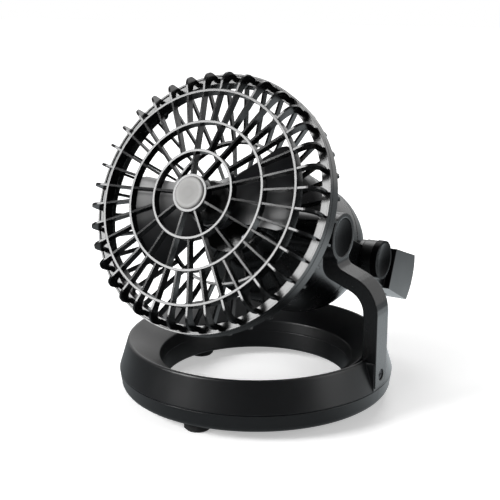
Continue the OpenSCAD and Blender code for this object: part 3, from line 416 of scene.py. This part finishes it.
sleeve_back = -0.072
sleeve_front = -0.0127
band_front = -0.0584
seam_half = 0.0001
cell = Finish("shrunk_sleeve_on_steel", {"Coat Roughness": 0.15})
normal, rubbed = cell.edges(radius=0.0006)
distance = along_axis(cell)
steel_end = cell.spread(distance, sleeve_back - seam_half, sleeve_back + seam_half, 1, 0) \
    + cell.spread(distance, sleeve_front - seam_half, sleeve_front + seam_half)
band = cell.spread(distance, band_front - seam_half, band_front + seam_half, 1, 0) \
    * (1 - steel_end)
creases = cell.noise(size=0.0012)
sleeve = cell.mix(band, (0.03, 0.032, 0.036, 1), (0.45, 0.2, 0.06, 1))
cell.feed(cell.shader.inputs["Base Color"], cell.mix(steel_end, sleeve, (0.55, 0.54, 0.52, 1)))
cell.feed(cell.shader.inputs["Metallic"], steel_end)
cell.feed(cell.shader.inputs["Roughness"], cell.vary(creases, 0.26, 0.4))
cell.feed(cell.shader.inputs["Coat Weight"], (1 - steel_end) * 0.6)
cell.feed(cell.shader.inputs["Normal"], cell.relief(creases, 0.00002, normal))
dress(cell, "battery_cells")


# ---------- Battery door ----------
# The domed door turns and locks in the drum with three bayonet lugs. It is moulded like the drum
# with a finer grain. A pressed brass plate inside joins the cells, and a thin rubber ring seals it.

satin_door = moulded("satin_door_abs", satin_black, roughness=0.26,
                     grain=0.0004, depth=0.00001, edge=0.0006)
dress(satin_door, "battery_door")
dress(brass, "door_contacts")

seal_rubber = rubbery("seal_rubber", (0.015, 0.015, 0.0155), grain=0.0004)
dress(seal_rubber, "door_gasket")


# ---------- Switch ----------
# A nylon switch body is snapped under a slot in the drum. The ribbed slider above it is ABS, and
# thumbs have polished the crests of its ribs.

dress(nylon, "switch_body")

thumbed = moulded("thumbed_abs", (0.007, 0.007, 0.0075), roughness=0.34,
                  grain=0.0004, depth=0.00001, edge=0.0005)
dress(thumbed, "switch_knob")


# ---------- Handle ----------
# The carry handle is one thick ABS moulding with a soft pad pressed into the grip's top. It turns
# on two steel pins beside the drum, and a dished cap closes each hinge.

satin_handle = moulded("satin_handle_abs", satin_black, roughness=0.3,
                       grain=0.0005, depth=0.000015, edge=0.0007)
dress(satin_handle, "carry_handle")

pad_rubber = rubbery("pad_rubber", (0.011, 0.011, 0.0115), grain=0.0008)
dress(pad_rubber, "handle_pad")
dress(bright_zinc, "hinge_pins")
dress(cap_black, "hinge_caps")


# ---------- Studio ----------
# The fan stands on a seamless sheet of white paper, in a room that is dim in front and white
# behind. One soft lamp stands in front on the left, a weaker one hangs above and behind, and a
# low one fills the right side.

paper = Finish("studio_paper", {"Roughness": 0.9, "Specular IOR Level": 0})
shape = bmesh.new()
bmesh.ops.create_grid(shape, x_segments=1, y_segments=1, size=6)
floor_mesh = bpy.data.meshes.new("studio_floor")
shape.to_mesh(floor_mesh)
shape.free()
floor_mesh.materials.append(paper.material)
floor = bpy.data.objects.new("studio_floor", floor_mesh)
bpy.context.scene.collection.objects.link(floor)

paper.feed(paper.shader.inputs["Base Color"], paper.mix(
    paper.noise(size=0.002, detail=2), (0.94, 0.94, 0.94, 1), (0.96, 0.96, 0.96, 1)))
# The camera sees the paper brighten to plain white away from the fan.
path = paper.node("ShaderNodeLightPath")
parts = paper.node("ShaderNodeSeparateXYZ", inputs={"Vector": paper.place()})
flat = paper.node("ShaderNodeVectorMath", {"operation": "LENGTH"}, {0: paper.place()})
distance = Number(paper, flat.outputs["Value"])
near_glow = paper.spread(distance, low=0.09, high=0.25, new_low=0.4, new_high=0.65)
far_glow = paper.spread(distance, low=0.6, high=2.5, new_low=0, new_high=0.5)
seen = Number(paper, path.outputs["Is Camera Ray"])
glow = paper.node("ShaderNodeEmission", inputs={
    "Color": (1, 1, 1, 1), "Strength": seen * (near_glow + far_glow)})
lit = paper.node("ShaderNodeAddShader", inputs={0: paper.shader.outputs[0], 1: glow.outputs[0]})
# Painted reflection: only glossy rays see this glow of the paper, bright behind and beside the fan
# and dim in front, with painted shade close round the fan and a fade far off.
diagonal = Number(paper, parts.outputs["X"]) + Number(paper, parts.outputs["Y"])
behind = paper.spread(diagonal, low=0.03, high=0.2, new_low=0.4, new_high=1.7)
painted_reflection_fade = paper.spread(distance, low=0.05, high=0.1, new_low=0.3, new_high=1) \
    * paper.spread(distance, low=0.22, high=0.42, new_low=1, new_high=0.3)
# Painted reflection: a faintly blue emission on the paper that only glossy rays see, standing in
# for a white sheet.
painted_reflection = paper.node("ShaderNodeEmission", inputs={
    "Color": (0.9, 0.97, 1, 1), "Strength": behind * painted_reflection_fade})
shown = paper.node("ShaderNodeMixShader", inputs={
    0: path.outputs["Is Glossy Ray"], 1: lit.outputs[0], 2: painted_reflection.outputs[0]})
paper.feed(paper.tree.nodes["Material Output"].inputs["Surface"], shown.outputs[0])

# The camera sees white walls, glossy plastic mirrors dim ones in front, and the rest is weak fill.
room = bpy.data.worlds.new("pale_room")
bpy.context.scene.world = room
room.use_nodes = True
walls = Nodes(room.node_tree)
path = walls.node("ShaderNodeLightPath")
camera_ray = Number(walls, path.outputs["Is Camera Ray"])
glossy_ray = Number(walls, path.outputs["Is Glossy Ray"])
where = walls.node("ShaderNodeTexCoord")
parts = walls.node("ShaderNodeSeparateXYZ", inputs={"Vector": where.outputs["Generated"]})
rearward = Number(walls, parts.outputs["Y"])
mirrored = walls.spread(rearward, low=-0.3, high=0.6, new_low=0.16, new_high=1)
fill = 0.18
level = camera_ray + (1 - camera_ray) * (glossy_ray * mirrored + (1 - glossy_ray) * fill)
background = room.node_tree.nodes["Background"]
walls.feed(background.inputs["Color"], (1, 1, 1, 1))
walls.feed(background.inputs["Strength"], level)

fan_middle = Vector((0, 0, 0.1))


def softbox(name, direction, distance, size, radiance):
    """A square lamp that faces the fan and shines with that radiance."""
    data = bpy.data.lights.new(name, "AREA")
    data.shape = "SQUARE"
    data.size = size
    data.energy = radiance * math.pi * size ** 2
    lamp = bpy.data.objects.new(name, data)
    lamp.visible_camera = False
    lamp.location = fan_middle + Vector(direction).normalized() * distance
    lamp.rotation_euler = Vector(direction).to_track_quat("Z", "Y").to_euler()
    bpy.context.scene.collection.objects.link(lamp)


softbox("key_lamp", (-0.5, -0.74, 0.46), distance=1.5, size=0.6, radiance=20)
softbox("back_lamp", (-0.2, 0.6, 0.8), distance=1.5, size=1, radiance=3)
softbox("side_lamp", (1, 0.1, 0.35), distance=1.5, size=0.7, radiance=3)

# The camera stands at the fan's right front and looks down a little.
base_low, base_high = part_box("base_upper_shell")
base_middle = Vector((0, (base_low.y + base_high.y) / 2, 0))
azimuth = math.radians(31.25)
elevation = math.radians(14.485)
camera_distance = 0.63
aim_right = -0.003612
aim_up = 0.085428
level_back = Vector((math.sin(azimuth), -math.cos(azimuth), 0))
back = level_back * math.cos(elevation) + Vector((0, 0, math.sin(elevation)))
right = Vector((math.cos(azimuth), math.sin(azimuth), 0))
up = back.cross(right)
aim = base_middle + right * aim_right + up * aim_up
data = bpy.data.cameras.new("studio_camera")
data.lens = 72.32
data.sensor_width = 36
data.clip_start = 0.01
camera = bpy.data.objects.new("studio_camera", data)
camera.location = aim + back * camera_distance
camera.rotation_euler = back.to_track_quat("Z", "Y").to_euler()
bpy.context.scene.collection.objects.link(camera)
bpy.context.scene.camera = camera
bpy.context.scene.view_settings.view_transform = "Standard"
